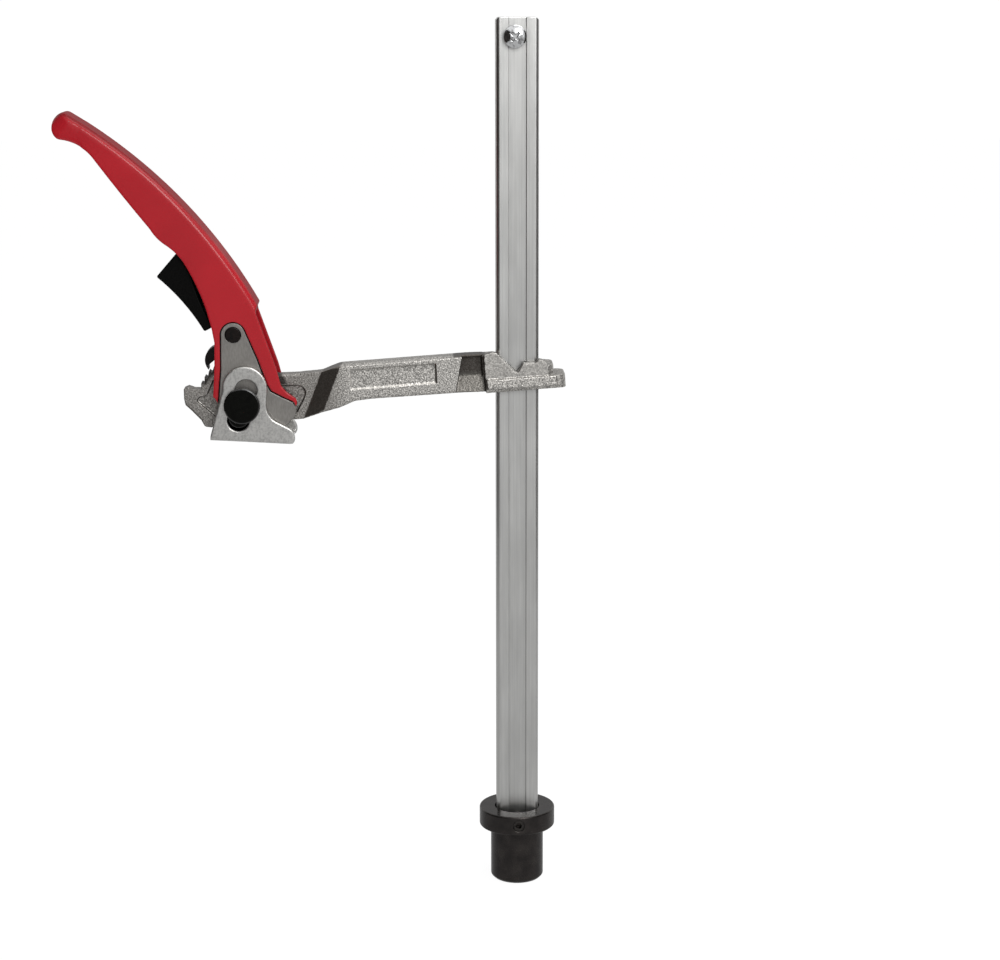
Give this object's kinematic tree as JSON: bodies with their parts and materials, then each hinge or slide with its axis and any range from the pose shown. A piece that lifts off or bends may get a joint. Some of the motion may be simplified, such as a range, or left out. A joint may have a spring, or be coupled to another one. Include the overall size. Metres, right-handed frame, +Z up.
{
  "type": "quick release bar clamp",
  "caption": "Quick release bar clamp for a welding table: a forged arm slides on a grooved bar in a flanged stud, and a red cam lever with a ratchet presses a swivelling shoe down.",
  "frame": {"origin": "on the stud's axis, in the plane of the flange's underside, which rests on the table", "axes": "+Z up along the bar, the arm reaches towards -X, and the side with the stop screw and the set screw is -Y"},
  "size_m": [0.2583, 0.04, 0.4565],
  "materials": {
    "bar_steel": "ground flat bar, fine lengthwise lines, satin",
    "black_oxide": "turned steel with a black oxide finish, semi-gloss",
    "zinc_screw": "zinc plated screws and washers, bright",
    "forged_steel": "drop forging, blasted and zinc coated, fine grain, matt",
    "red_powder": "red powder coat on pressed sheet, semi-gloss",
    "plate_steel": "blanked steel plate, tumbled, satin",
    "shoe_steel": "pressed sheet steel, tumbled and nickel plated, satin",
    "black_pin": "hardened pins and pawl, blackened",
    "black_plastic": "moulded black polyamide, matt",
    "cap_plastic": "moulded black caps, glossy",
    "spring_steel": "drawn spring wire, bright"
  },
  "bodies": {
    "mast": {"bar": "bar_steel", "base_stud": "black_oxide", "base_set_screw": "zinc_screw", "stop_screw": "zinc_screw", "stop_washer": "zinc_screw"},
    "arm": {"sliding_arm": "forged_steel", "axle": "plate_steel"},
    "lever": {"lever_handle": "red_powder", "cam_plate_front": "plate_steel", "cam_plate_rear": "plate_steel", "rocker_pin": "black_pin", "pawl_spacers": "plate_steel", "spring_seat": "plate_steel"},
    "rocker": {"pawl": "black_pin", "release_paddle": "black_plastic", "paddle_pins": "black_pin", "pawl_spring": "spring_steel"},
    "guide": {"guide_cap_front": "cap_plastic", "guide_cap_rear": "cap_plastic"},
    "shoe": {"shoe": "shoe_steel"}
  },
  "joints": [
    {"name": "arm_slide", "type": "slide", "parent": "mast", "child": "arm", "axis": [0, 0, 1], "range_m": [-0.19, 0.155]},
    {"name": "lever_turn", "type": "hinge", "parent": "arm", "child": "lever", "pos_m": [-0.141, 0, 0.232], "axis": [0, 1, 0], "range_deg": [-9, 45]},
    {"name": "release", "type": "hinge", "parent": "lever", "child": "rocker", "pos_m": [-0.1452, 0, 0.2678], "axis": [0, 1, 0], "range_deg": [-4.7, 8], "stiffness_Nm_per_rad": 1.2, "deforming": ["pawl_spring"]},
    {"name": "shoe_tilt", "type": "hinge", "parent": "arm", "child": "guide", "pos_m": [-0.141, 0, 0.232], "axis": [0, 1, 0], "range_deg": [-5, 3.5]},
    {"name": "shoe_slide", "type": "slide", "parent": "guide", "child": "shoe", "axis": [-0.2656, 0, -0.9641], "range_m": [-0.00146, 0.00724]}
  ],
  "couplings": [
    {"joint": "shoe_slide", "follows": "lever_turn", "m_per_rad": 0.009194}
  ]
}
